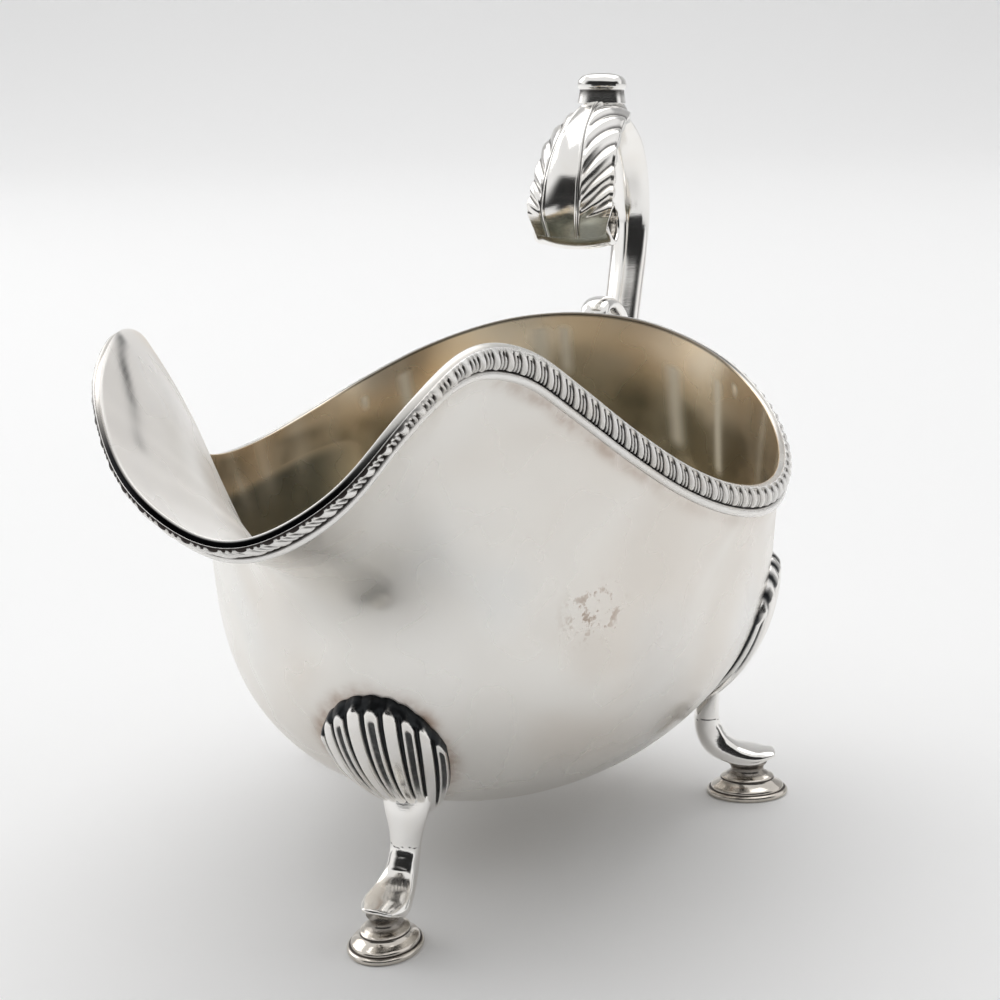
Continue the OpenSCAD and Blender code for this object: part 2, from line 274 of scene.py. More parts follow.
class Nodes:
    """A short way to add shader nodes."""

    def __init__(self, tree):
        self.tree = tree
        self.coords = tree.nodes.new("ShaderNodeTexCoord").outputs["Object"]

    def link(self, a, b):
        self.tree.links.new(a, b)

    def value_in(self, node, key, value):
        if isinstance(value, (int, float, tuple, list)):
            node.inputs[key].default_value = value
        else:
            self.link(value, node.inputs[key])

    def noise(self, scale, detail=4.0, rough=0.55, distort=0.0, stretch=None):
        n = self.tree.nodes.new("ShaderNodeTexNoise")
        source = self.coords
        if stretch:
            m = self.tree.nodes.new("ShaderNodeMapping")
            m.inputs["Scale"].default_value = stretch
            self.link(source, m.inputs["Vector"])
            source = m.outputs["Vector"]
        self.link(source, n.inputs["Vector"])
        n.inputs["Scale"].default_value = scale
        n.inputs["Detail"].default_value = detail
        n.inputs["Roughness"].default_value = rough
        n.inputs["Distortion"].default_value = distort
        return n.outputs["Fac"]

    def ramp(self, fac, lo, hi, a=0.0, b=1.0):
        n = self.tree.nodes.new("ShaderNodeMapRange")
        n.interpolation_type = "SMOOTHSTEP"
        for key, value in (("Value", fac), ("From Min", lo), ("From Max", hi), ("To Min", a), ("To Max", b)):
            self.value_in(n, key, value)
        return n.outputs["Result"]

    def math(self, op, a, b):
        n = self.tree.nodes.new("ShaderNodeMath")
        n.operation = op
        self.value_in(n, 0, a)
        self.value_in(n, 1, b)
        return n.outputs[0]

    def mix(self, fac, a, b):
        n = self.tree.nodes.new("ShaderNodeMix")
        n.data_type = "RGBA"
        self.value_in(n, "Factor", fac)
        for key, colour in (("A", a), ("B", b)):
            socket = [s for s in n.inputs if s.name == key and s.type == "RGBA"][0]
            if isinstance(colour, (tuple, list)):
                socket.default_value = (*colour, 1.0)
            else:
                self.link(colour, socket)
        return [s for s in n.outputs if s.type == "RGBA"][0]

    def attribute(self, key):
        n = self.tree.nodes.new("ShaderNodeAttribute")
        n.attribute_name = key
        return n.outputs["Fac"]

    def bump(self, height, strength, distance, bsdf):
        n = self.tree.nodes.new("ShaderNodeBump")
        n.inputs["Strength"].default_value = strength
        n.inputs["Distance"].default_value = distance
        self.link(height, n.inputs["Height"])
        self.link(n.outputs["Normal"], bsdf.inputs["Normal"])


SILVER = (0.93, 0.915, 0.89)
WARM = (0.86, 0.80, 0.71)
TARNISH = (0.035, 0.030, 0.027)
OUTER_CLEAN, OUTER_WARM, OUTER_COOL = (0.85, 0.83, 0.79), (0.74, 0.69, 0.63), (0.74, 0.76, 0.77)
GOLD_LIGHT, GOLD_BROWN, OLIVE_PAINTED_SHADE = (0.97, 0.87, 0.69), (0.90, 0.70, 0.47), (0.22, 0.235, 0.21)
UNDER_RIM = (0.36, 0.30, 0.20)
FROSTED, WIPED = (0.97, 0.96, 0.95), (0.97, 0.96, 0.94)
STAIN_BROWN, SCUFF_BROWN = (0.34, 0.22, 0.15), (0.42, 0.30, 0.22)
GILT_HAZE, PAINTED_HIGHLIGHT_GILT = (0.86, 0.81, 0.71), (1.0, 0.90, 0.72)
# black for the painted reflection and shade on the rim's face, and for the dark streak inside the lip
RIM_BLACK = (0.022, 0.022, 0.024)


def silver_material(name, base=SILVER, rough=0.12, cavity=TARNISH, grime=0.35, metal=1.0):
    """Polished cast silver: dark where the 'cavity' attribute says, mostly tarnish in grooves and joins, and on the
    front shell's crest also a painted dark reflection; haze and fine scratches elsewhere.
    """
    mat, tree, bsdf = new_material(name)
    bsdf.inputs["Metallic"].default_value = metal
    n = Nodes(tree)
    haze = n.noise(70.0, 5.0, 0.6, 0.4)
    warm = n.ramp(haze, 0.42, 0.72, 0.0, grime)
    colour = n.mix(warm, base, WARM)
    dark = n.attribute("cavity")
    speck = n.noise(900.0, 3.0, 0.6)
    dark = n.math("MULTIPLY", dark, n.ramp(speck, 0.25, 0.6, 0.92, 1.03))
    colour = n.mix(n.ramp(dark, 0.15, 0.85), colour, cavity)
    n.link(colour, bsdf.inputs["Base Color"])
    scratches = n.noise(420.0, 3.0, 0.7, 0.0, (1.0, 1.0, 9.0))
    roughness = n.math("ADD", n.ramp(haze, 0.35, 0.75, rough, rough + 0.12), n.math("MULTIPLY", dark, 0.3))
    n.link(roughness, bsdf.inputs["Roughness"])
    n.bump(scratches, 0.05, 0.0002, bsdf)
    return mat


def bowl_material():
    """Raised sheet: milky satin outside; gold-brown tarnish inside, darkening to olive deeper down as painted shade,
    with painted highlight streaks; a painted dark reflection on the rim's face; brown stains by the applied work.
    """
    mat, tree, bsdf = new_material("raised_silver")
    n = Nodes(tree)
    inside, depth, stain, scuff = (n.attribute(k) for k in ("inside", "depth", "stain", "scuff"))
    painted_highlight, frost, edge = (n.attribute(k) for k in ("painted_highlight", "frost", "edge"))
    cloud = n.noise(24.0, 2.5, 0.5, 0.8)
    fine = n.noise(90.0, 1.5, 0.5)
    wipe = n.noise(45.0, 1.0, 0.5, 0.2, (1.0, 1.0, 0.35))
    outer = n.mix(n.ramp(cloud, 0.36, 0.66, 0.0, 0.75), OUTER_CLEAN, OUTER_WARM)
    outer = n.mix(n.ramp(n.noise(38.0, 1.0, 0.5), 0.52, 0.75, 0.0, 0.35), outer, OUTER_COOL)
    outer = n.mix(n.ramp(wipe, 0.5, 0.75, 0.0, 0.25), outer, WIPED)
    brown = n.math("MULTIPLY", stain, n.ramp(n.noise(160.0, 4.0, 0.6), 0.35, 0.65, 0.25, 1.0))
    outer = n.mix(brown, outer, STAIN_BROWN)
    specks = n.math("MULTIPLY", scuff, n.ramp(n.noise(520.0, 5.0, 0.7), 0.52, 0.62))
    outer = n.mix(n.math("MULTIPLY", specks, 0.65), outer, SCUFF_BROWN)
    gold = n.mix(n.ramp(cloud, 0.3, 0.7), GOLD_LIGHT, GOLD_BROWN)
    # painted shade: the gilt darkens to olive where 'depth' is high, deep in the bowl
    gold = n.mix(n.ramp(depth, 0.3, 1.0, 0.0, 0.95), gold, OLIVE_PAINTED_SHADE)
    under_rim = n.math("MULTIPLY", n.ramp(depth, 0.17, 0.23), n.ramp(depth, 0.3, 0.42, 1.0, 0.0))
    blotch = n.ramp(n.noise(60.0, 2.5, 0.6), 0.42, 0.62, 0.15, 0.85)
    gold = n.mix(n.math("MULTIPLY", under_rim, blotch), gold, UNDER_RIM)
    gold = n.mix(n.ramp(fine, 0.5, 0.8, 0.0, 0.25), gold, GILT_HAZE)
    # painted highlights: the streaks and bands are painted in a pale gilt colour
    gold = n.mix(painted_highlight, gold, PAINTED_HIGHLIGHT_GILT)
    outer = n.mix(n.math("MULTIPLY", frost, 0.7), outer, FROSTED)
    colour = n.mix(inside, outer, gold)
    # painted dark reflection and shade on the rim's face, and the dark streak inside the lip, over all other colour
    colour = n.mix(edge, colour, RIM_BLACK)
    n.link(colour, bsdf.inputs["Base Color"])
    rough_out = n.math("ADD", n.ramp(fine, 0.3, 0.75, 0.22, 0.36), n.math("MULTIPLY", specks, 0.3))
    rough_in = n.ramp(fine, 0.3, 0.75, 0.24, 0.31)
    sheen = n.math("ADD", n.math("MULTIPLY", frost, 0.76), n.math("MULTIPLY", inside, 0.14))
    # the painted highlights are also made less metallic, so they show pale in any light
    sheen = n.math("ADD", sheen, n.math("MULTIPLY", painted_highlight, 0.75))
    n.link(n.math("SUBTRACT", 1.0, sheen), bsdf.inputs["Metallic"])
    keep = n.math("SUBTRACT", 1.0, inside)
    n.link(n.math("ADD", n.math("MULTIPLY", rough_out, keep), n.math("MULTIPLY", rough_in, inside)),
           bsdf.inputs["Roughness"])
    n.bump(n.noise(16.0, 0.0, 0.5), 0.05, 0.001, bsdf)
    return mat


mat_bowl = bowl_material()
mat_border = silver_material("border_silver", rough=0.18, cavity=(0.03, 0.022, 0.019), metal=0.5)
mat_cast = silver_material("cast_silver", rough=0.11)
mat_shell = silver_material("shell_silver", rough=0.1, cavity=(0.03, 0.032, 0.034))
mat_leg = silver_material("leg_silver", rough=0.06)
mat_pad = silver_material("pad_silver", base=(0.62, 0.58, 0.53), rough=0.06, cavity=(0.05, 0.04, 0.035), grime=0.6)


# ---------------------------------------------------------------- bowl
# painted highlights: bright streaks painted inside in place of reflected lights; place round the rim, width, and the
# levels between which each one shows
PAINTED_HIGHLIGHTS = [(0.603, 0.002, 0.83, 0.93), (0.582, 0.0035, 0.72, 0.95), (0.519, 0.005, 0.8, 0.97),
           (0.508, 0.003, 0.78, 0.97), (0.456, 0.0045, 0.6, 0.9), (0.43, 0.003, 0.55, 0.93),
           (0.418, 0.002, 0.88, 0.96)]
# the scuffed patch's place, round the rim and up the wall, and the place of the brown stain under the wire
SCUFF_AT = (0.18, 0.55)
WIRE_STAIN_U = 0.168


def shell_outline(side):
    """The shell's edge on the bowl, as points, for the stain round it."""
    across, t = np.linspace(-1, 1, 60), np.linspace(0, 1, 60)
    u, v = shell_grid(side, np.append(across, [-1] * 60 + [1] * 60), np.append(np.ones(60), np.append(t, t)))
    return on_wall(u, v)


def outer_marks(rows):
    """Where tarnish has crept out round the shells and under the wire, and where the side is scuffed."""
    edges = np.concatenate([shell_outline(side) for side in FEET])
    tree = KDTree(len(edges))
    for i, e in enumerate(edges):
        tree.insert(e, i)
    tree.balance()
    near = np.array([tree.find(q)[2] for q in rows.reshape(-1, 3)]).reshape(rows.shape[:2])
    stain = 0.85 * np.exp(-((near / 1.5) ** 2))
    fall = np.linalg.norm(rows - rows[len(wall_in) + 4][None], axis=-1)
    patch = np.exp(-(((u_axis - WIRE_STAIN_U) / 0.045) ** 2))[None, :]
    stain = np.maximum(stain, np.exp(-(((fall - 5.6) / 1.4) ** 2)) * (0.18 + 0.5 * patch))
    spot = on_wall(*SCUFF_AT)
    scuff = np.exp(-((np.linalg.norm((rows - spot) * (1, 1, 1.25), axis=-1) / 5.2) ** 4))
    return stain, scuff


def build_bowl():
    """One sheet: up the inner face, over the rolled rim, behind the border, and down the outer face."""
    inner = wall_in[1:]
    outer = wall_out[1:]
    top = unit(wall_in[-1] - wall_in[-4])
    roll = []
    for a in np.linspace(0, 1, 9)[1:]:
        rise = 0.16 * math.sin(math.pi * a) ** 0.6 - 0.22 * a
        roll.append(wall_in[-1] + wall_n[-1] * (RIM_FACE * a) + top * rise)
    hem = wall_in[-1] + wall_n[-1] * RIM_FACE - top
    under_border = 6
    rows = np.concatenate([inner, np.array(roll), hem[None], outer[:-under_border][::-1]])
    count = len(rows)
    verts = rows.reshape(-1, 3)
    faces = grid_faces(count, NU, close_cols=True).tolist()
    pole_in, pole_out = len(verts), len(verts) + 1
    verts = np.vstack([verts, wall_in[0].mean(0), wall_out[0].mean(0)])
    last = (count - 1) * NU
    faces += [(pole_in, (j + 1) % NU, j) for j in range(NU)]
    faces += [(pole_out, last + j, last + (j + 1) % NU) for j in range(NU)]
    n_in = len(inner)
    inside = np.zeros((count, NU))
    inside[:n_in] = 1.0
    depth = np.zeros((count, NU))
    level = np.linspace(0, 1, n_in)[:, None]
    # painted shade: 'depth' darkens the inside towards the bottom and over the front half's lower wall, less at the
    # back
    paler_back = 0.55 * smooth((half_u - 0.6) / 0.25)[None, :] * smooth((level - 0.1) / 0.35)
    depth[:n_in] = np.clip(1.15 - level, 0, 1) * (1.1 - paler_back)
    shade = smooth((0.84 - half_u) / 0.14)[None, :] * smooth((0.84 - level) / 0.14)
    shade = np.maximum(shade, smooth((0.4 - level) / 0.3))
    depth[:n_in] = np.maximum(depth[:n_in], shade)
    # the lip's own inner face is as bright as the outside
    lip = smooth((0.34 - half_u) / 0.12)[None, :] * smooth((level - 0.5) / 0.2)
    inside[:n_in] *= 1 - 0.92 * lip
    stain, scuff = outer_marks(rows)
    stain[:n_in], scuff[:n_in] = 0, 0
    frost = np.zeros((count, NU))
    frost[:n_in] = lip
    # painted highlights: bright upright streaks and soft bands painted round the gilt inside, standing for
    # reflections
    turns = u_axis * 2 * math.pi
    ripple = np.sin(31 * turns + 2.5 * np.sin(5 * turns + 1))
    bands = 0.5 + 0.5 * ripple * np.sin(13 * turns + 1.5 * np.sin(3 * turns))
    painted_highlight = np.zeros((count, NU))
    painted_highlight[:n_in] = 0.3 * bands[None, :] ** 3 * smooth((level - 0.5) / 0.3)
    for at, wide, low, high in PAINTED_HIGHLIGHTS:
        shine = np.exp(-(((u_axis - at - 0.012 * (level - high)) / wide) ** 2))
        shine = shine * smooth((level - low) / 0.06) * smooth((high - level) / 0.03)
        painted_highlight[:n_in] = np.maximum(painted_highlight[:n_in], shine)
    # painted reflection and shade: the rim's face is painted black along the lip's near edge, mirroring the dark
    # room, and painted dark at the back
    turn = (u_axis + 0.5) % 1.0 - 0.5
    lip_dark_reflection = smooth((0.072 - turn) / 0.035) * smooth((turn + 0.075) / 0.03)
    dark = 0.75 * smooth((u_axis - 0.4) / 0.03) * smooth((0.63 - u_axis) / 0.03)
    edge = np.zeros((count, NU))
    edge[n_in:n_in + 7] = lip_dark_reflection[None, :] * np.array([0.4, 1, 1, 1, 1, 1, 0.6])[:, None]
    # a dark streak is painted along the inside of the lip's far side
    lip_dark_streak_at = 0.94 + 0.053 * smooth((0.93 - u_axis) / 0.036)[None, :]
    lip_dark_streak = np.exp(-(((level - lip_dark_streak_at) / 0.0105) ** 2))
    lip_dark_streak = lip_dark_streak * smooth((u_axis - 0.893) / 0.006) * smooth((0.948 - u_axis) / 0.006)
    fainter = 1 - 0.6 * smooth((u_axis - 0.921) / 0.006)
    edge[:n_in] = 0.85 * lip_dark_streak * fainter * (0.85 + 0.15 * np.sin(9 * level + 70 * turns))
    edge[n_in - 2:n_in + 8] = np.maximum(edge[n_in - 2:n_in + 8], dark[None, :])
    grids = {"inside": inside, "depth": depth, "stain": stain, "scuff": scuff, "frost": frost, "painted_highlight": painted_highlight,
             "edge": edge}
    # the two points at the bottom come last, the inner one first
    attrs = {key: np.append(grid.ravel(), [float(key in ("inside", "depth")), 0]) for key, grid in grids.items()}
    make_mesh("bowl_sheet", verts, faces, attrs, "bowl", "raised_silver", mat_bowl)


# ---------------------------------------------------------------- gadroon border
STEPS_PER_LOBE = 34
border_n = LOBES * STEPS_PER_LOBE


def loop_at(values, count):
    """Values given round the rim, taken at count even places."""
    at = np.arange(count) / count * NU
    i0 = np.floor(at).astype(int) % NU
    f = (at - np.floor(at))[:, None]
    return values[i0] * (1 - f) + values[(i0 + 1) % NU] * f


def rim_frame(count):
    """The rim's inner edge at count places, with the directions out of the wall and up along it."""
    edge = loop_at(wall_in[-1], count)
    normal = unit(loop_at(wall_n[-2], count))
    up = unit(loop_at(wall_in[-1] - wall_in[-6], count))
    return edge, normal, up


def bump_at(p, middle, half):
    """A round bump of height 1, as wide as half on each side of its middle."""
    return np.sqrt(np.clip(1 - ((p - middle) / half) ** 2, 0, 1))


def build_border():
    """Each repeat is one broad lobe and two thin reeds, with dark pockets between them."""
    edge, normal, up = rim_frame(border_n)
    across = 24
    s = np.arange(border_n) / STEPS_PER_LOBE
    half = np.arange(border_n) / border_n
    half = 2 * np.minimum(half, 1 - half)
    by_lip, past_peak = smooth((0.18 - half) / 0.09), smooth((half - 0.19) / 0.08)
    rows, cavity = [], []
    for k in range(across + 1):
        w = k / across
        p = (s + 0.24 * (1 - w) ** 2.0 + 0.36 * (1 - w)) % 1.0
        relief = bump_at(p, 0.22, 0.215)
        for middle, begins in ((0.59, 0.05), (0.83, 0.2)):
            shown = mix(0.82, 0.72 * float(smooth((w - begins) / 0.12)), past_peak)
            relief = np.maximum(relief, bump_at(p, middle, mix(0.09, 0.082, past_peak)) * shown)
        swell = math.sin(math.pi * (0.06 + 0.9 * w)) ** 0.5
        taper = float(smooth((1 - w) / 0.07)) * float(smooth((w + 0.02) / 0.1))
        height = (0.2 + (BORDER_T - 0.2) * (0.12 + 0.88 * relief * taper)) * swell * (1 - 0.35 * by_lip)
        down = 0.12 - (BORDER_H + 0.12) * w
        rows.append(edge + normal * (RIM_FACE - 0.45 + height)[:, None] + up * down)
        open_top = float(smooth((w - 0.05) / 0.05))
        pocket = np.clip(mix(1.8, 1.65, past_peak) - relief * 2.3, 0, 1) * open_top
        pocket = np.maximum(pocket, mix(0.3, 1.0, past_peak) * float(smooth((w - 0.93) / 0.05)))
        cavity.append(np.maximum(pocket, by_lip * float(smooth((0.14 - w) / 0.08))))
    rows.append(edge + normal * WALL * 0.9 - up * BORDER_H)
    rows.append(edge + normal * WALL * 0.9 + up * 0.1)
    cavity += [mix(0.3, 1.0, past_peak), np.ones(border_n) * 0.2]
    grid = np.array(rows)
    faces = grid_faces(len(rows), border_n, close_cols=True, close_rows=True, flip=True)
    make_mesh("gadroon_lobes", grid.reshape(-1, 3), faces, {"cavity": np.array(cavity)},
              "gadroon_border", "border_silver", mat_border)


def build_wire():
    """The plain round moulding under the border, tarnished along its two joins."""
    count, sides, radius = 1488, 14, 0.72
    edge, normal, up = rim_frame(count)
    rows, cavity = [], []
    for k in range(sides):
        q = 2 * math.pi * k / sides
        rows.append(edge + normal * (WALL + 0.3 + radius * math.cos(q))
                    - up * (BORDER_H + 0.66 - radius * math.sin(q)))
        cavity.append(np.full(count, max(0.0, abs(math.sin(q)) - 0.72) * 3.0))
    faces = grid_faces(sides, count, close_cols=True, close_rows=True, flip=True)
    make_mesh("rim_moulding", np.array(rows).reshape(-1, 3), faces, {"cavity": np.array(cavity)},
              "rim_wire", "border_silver", mat_border)


build_border()
build_wire()

# ---------------------------------------------------------------- legs
# where each foot stands, its turn and lean in degrees, its shell's place round the rim, and mm per turn there
FEET = {
    "front": (Vector((LIP_X - FRONT_FOOT, 0, 0)), 0.0, FRONT_LEAN, 0.005, 205.0),
    "left": (Vector((LIP_X - REAR_FOOT, REAR_HALF_W, 0)), REAR_TURN, 0.0, 0.364, 330.0),
    "right": (Vector((LIP_X - REAR_FOOT, -REAR_HALF_W, 0)), -REAR_TURN, 0.0, 0.636, 330.0),
}


def place(points, foot, turn, lean=0.0):
    """Moves points from a foot's own axes to where the foot stands."""
    m = Matrix.Translation(foot) @ Matrix.Rotation(math.radians(turn), 4, "Z") @ Matrix.Rotation(
        math.radians(-lean), 4, "X")
    a = np.array(m)
    return np.asarray(points) @ a[:3, :3].T + a[:3, 3]


def tube(path, sizes, steps, sides, shape=None, caps=4):
    """A closed tube along a path in the plane y = 0; sizes are half width and half depth, shape(q, t) scales them."""
    t = np.linspace(0, 1, steps + 1)
    c, s = spline(path, t), spline(sizes, t)
    d = unit(spline(path, np.minimum(t + 0.01, 1)) - spline(path, np.maximum(t - 0.01, 0)))
    q = np.arange(sides) * 2 * math.pi / sides
    rows = []
    factors = [math.sin(math.pi / 2 * k / caps) for k in range(1, caps)]
    order = [(0, f) for f in factors] + [(i, 1.0) for i in range(steps + 1)] + [(steps, f) for f in factors[::-1]]
    for i, f in order:
        push = 0.0 if f == 1.0 else (math.sqrt(1 - f * f) * s[i, 1] * (-1 if i == 0 else 1))
        scale = shape(q, t[i]) if shape else np.ones((sides, 2))
        w, h = s[i, 0] * f * scale[:, 0], s[i, 1] * f * scale[:, 1]
        depth = h * np.cos(q)
        rows.append(np.stack([c[i, 0] + d[i, 0] * push - d[i, 1] * depth, w * np.sin(q),
                              c[i, 1] + d[i, 1] * push + d[i, 0] * depth], 1))
    return np.array(rows)


def tube_mesh(name, rows, attrs, **kw):
    """A mesh of rings of points, closed at both ends."""
    n, m = rows.shape[:2]
    verts = rows.reshape(-1, 3)
    faces = grid_faces(n, m, close_cols=True).tolist()
    faces.append(list(range(m))[::-1])
    faces.append([(n - 1) * m + j for j in range(m)])
    make_mesh(name, verts, faces, attrs, **kw)


# the leg's middle line as distance out and height, and its half width and half depth along it
LEG_TOP = {"front": [(-6.7, 23.0), (-6.5, 18.8)], "side": [(-5.2, 20.6), (-6.1, 18.2)]}
LEG_LINE = [(-6.9, 15.0), (-6.8, 11.7), (-5.4, 8.9), (-2.6, 7.4), (1.0, 6.9), (4.2, 7.3)]
LEG_SIZE = [(4.2, 0.8), (3.4, 1.4), (2.5, 2.05), (2.25, 2.1), (2.5, 2.1), (3.1, 1.95), (3.6, 1.4), (2.4, 0.5)]


def leg_shape(q, t):
    """Oval at the top, with a flat front lower down; the foot gets a flat sole with a thin lip round it."""
    foot = float(smooth((t - 0.6) / 0.16))
    lip = np.exp(-(((np.cos(q) + 0.7) / 0.2) ** 2))
    wide = 1 + 0.22 * foot * lip
    deep = np.where(np.cos(q) < -0.76, mix(1.0, 0.76 / np.maximum(-np.cos(q), 0.1), foot), 1.0)
    blade = 0.9 * float(smooth((t - 0.32) / 0.14)) * float(smooth((0.97 - t) / 0.1))
    swell = 0.27 * float(smooth((t - 0.3) / 0.19)) - 0.3 * float(smooth((t - 0.53) / 0.27))
    thicker = 0.5 * blade + swell * float(smooth((0.97 - t) / 0.1))
    deep = np.where(np.cos(q) > 0.5, mix(1.0, 0.5 / np.maximum(np.cos(q), 0.1), blade) + thicker,
                    deep + thicker * smooth((np.cos(q) + 0.3) / 0.8))
    return np.stack([wide, deep], 1)


def build_leg(side):
    foot, turn, lean, _, _ = FEET[side]
    rows = tube(LEG_TOP["front" if side == "front" else "side"] + LEG_LINE, LEG_SIZE, 96, 56, leg_shape)
    pts = place(rows.reshape(-1, 3), foot, turn, lean).reshape(rows.shape)
    # a fine solder line near the top of the shaft, and darkening under the sole
    z = rows[:, :, 2]
    seam = 0.9 * np.exp(-(((z - 13.7 - 0.2 * np.sin(rows[:, :, 1] * 2.1)) / 0.08) ** 2))
    under = smooth((5.7 - z) / 0.25)
    tube_mesh(f"{side}_hoof_leg", pts, {"cavity": np.maximum(seam, under)}, node=f"{side}_leg",
              slot="leg_silver", material=mat_leg)


# the pad's steps as height and share of its full width
PAD_PROFILE = [(0.0, 0.96), (0.2, 0.99), (0.5, 1.0), (0.8, 0.985), (1.0, 0.94), (1.1, 0.90), (1.35, 0.895),
               (1.6, 0.87), (1.85, 0.81), (2.2, 0.73), (2.55, 0.675), (2.8, 0.66), (3.0, 0.655), (3.2, 0.62),
               (3.45, 0.54), (3.8, 0.45), (4.25, 0.405), (4.7, 0.41), (5.1, 0.44), (5.45, 0.48)]


def build_pad(side):
    foot, turn, _, _, _ = FEET[side]
    sides = 72
    q = np.arange(sides) * 2 * math.pi / sides
    t = np.linspace(0, 1, 110)
    profile = spline(PAD_PROFILE, t)
    rows, cavity = [], []
    for z, w in profile:
        rows.append(np.stack([PAD_L / 2 * w * np.cos(q), PAD_W / 2 * w * np.sin(q), np.full(sides, max(z, 0.0))], 1))
        groove = max(math.exp(-((z - 1.07) / 0.12) ** 2), 0.95 * math.exp(-((z - 2.85) / 0.2) ** 2),
                     0.62 * float(smooth((z - 3.3) / 0.4)))
        cavity.append(np.full(sides, 0.85 * groove))
    rows = np.array(rows)
    pts = place(rows.reshape(-1, 3), foot, turn).reshape(rows.shape)
    tube_mesh(f"{side}_stepped_pad", pts, {"cavity": np.array(cavity)}, node=f"{side}_foot_pad",
              slot="pad_silver", material=mat_pad)


# the levels on the bowl's wall where the shells end, and how far up a shell its rolled crest lies
SHELL_TOP, SHELL_TIP = {"front": 0.462, "left": 0.482, "right": 0.482}, 0.23
SHELL_LOBES = 9
CREST = 0.955


def shell_grid(side, x, t):
    """Where the point (x across, t up) of a shell lies on the bowl."""
    _, _, _, centre, per_turn = FEET[side]
    spread = (0.2 + 0.8 * np.sin(math.pi / 2 * np.minimum(1, t * 1.12)) ** 0.85) * SHELL_W / 2
    scallop = 0.002 * np.abs(np.sin(math.pi * SHELL_LOBES * (x + 1) / 2)) * smooth((t - 0.8) / 0.2)
    v = mix(SHELL_TIP, SHELL_TOP[side] - 0.008, t) - 0.07 * t * x * x + scallop
    return centre + x * spread / per_turn, v


def build_shell(side):
    """A fan of nine lobes, every other one hollowed, running up to a smooth rolled crest."""
    across, down = 252, 96
    x = np.linspace(-1, 1, across + 1)[None, :]
    t = np.linspace(0, 1, down + 1)[:, None]
    x, t = np.broadcast_arrays(x, t)
    e = np.clip((x + 1) / 2 * SHELL_LOBES, 0, SHELL_LOBES - 1e-6)
    lobe, p = np.floor(e), e - np.floor(e)
    side_of = np.abs(2 * p - 1)
    hollow = (lobe % 2 == 0).astype(float)
    top_end = CREST - 0.012 * hollow - 0.07 * side_of**2
    run = smooth((CREST + 0.01 - t) / 0.04) * smooth((t - 0.04) / 0.2)
    groove = smooth((side_of - 0.66 + 0.1 * t) / 0.3) * run
    dish = hollow * smooth((0.46 - side_of) / 0.16) * smooth((top_end - 0.03 - t) / 0.03) * smooth((t - 0.3) / 0.25)
    body = 1.0 + 1.8 * (1 - x * x) ** 0.7 * np.sin(np.radians(40 + 112 * t))
    crest = 0.45 * np.exp(-(((t - CREST) / 0.028) ** 2)) * (0.45 + 0.55 * np.cos(2 * math.pi * (p - 0.5)))
    past_crest = np.clip((t - 0.86) / 0.14, 0, 1)
    edge = np.sqrt(np.clip(1 - np.abs(x) ** 12, 0, 1)) * np.sqrt(np.clip(1 - past_crest**2, 0, 1))
    lift = (body + crest + 0.12 * (1 - side_of**2) * run - 0.62 * groove - 0.42 * dish) * edge
    u, v = shell_grid(side, x, t)
    front = on_wall(u, v, np.maximum(lift, 0.02))
    back = on_wall(u, v, np.full(u.shape, -0.15))
    # the crest is dark with tarnish and, on the front shell, also a painted dark reflection of the room; the side
    # shells' crests are kept lighter
    crest_tarnish_and_reflection = 0.8 if side == "front" else 0.1
    cavity = np.maximum(groove**1.3 * 0.95, dish * 0.75)
    cavity = np.maximum(cavity, (crest_tarnish_and_reflection + (0.95 - crest_tarnish_and_reflection) * side_of) * smooth((t - top_end) / 0.02))
    cavity = np.maximum(cavity, 0.8 * smooth((np.abs(x) - 0.965) / 0.03))
    cavity = np.concatenate([(cavity * smooth(t * 4)).ravel(), np.ones(cavity.size)])
    slab_mesh(f"{side}_fluted_shell", front, back, {"cavity": cavity}, node=f"{side}_shell",
              slot="shell_silver", material=mat_shell)


build_bowl()
for side in FEET:
    build_shell(side)
    build_leg(side)
    build_pad(side)

# ---------------------------------------------------------------- handle
# middle lines are distance from the bowl's back and height; sizes are half width and half depth
STEM_LINE = [(-3.4, 50), (-10, 50.6), (-17, 54.6), (-22.9, 64), (-28.6, 75), (-32.6, 83.5), (-34, 90.8),
             (-31.8, 98.6), (-26.2, 105.2), (-18, 109.8)]
STEM_SIZE = [(2.9, 2.6), (3.1, 2.6), (3.3, 2.7), (3.5, 2.7), (3.5, 2.7), (3.6, 2.7), (3.8, 2.8), (4.1, 2.7),
             (4.4, 2.3), (4.4, 1.6)]


def at_back(points):
    return np.asarray(points) + np.array([BACK_X, 0, 0])


def stem_shape(q, t):
    """A rounded bar with a soft ridge down its inner face."""
    off = np.abs(np.angle(np.exp(1j * (q - math.pi))))
    return np.stack([np.ones(len(q)), 0.88 + 0.16 * np.exp(-((off / 0.34) ** 2))], 1)


rows = at_back(tube(STEM_LINE, STEM_SIZE, 160, 96, stem_shape))
tube_mesh("handle_stem", rows, {"cavity": np.zeros(rows.shape[:2])}, node="handle_scroll", slot="cast_silver",
          material=mat_cast)

LEAF_LINE = [(-17.6, 112.8), (-9, 111.8), (-0.8, 108), (3.9, 102.2), (5.1, 97.4), (4.8, 94.2), (3.5, 91.4)]
LEAF_W, LEAF_LOBES = 15.6, 9.0


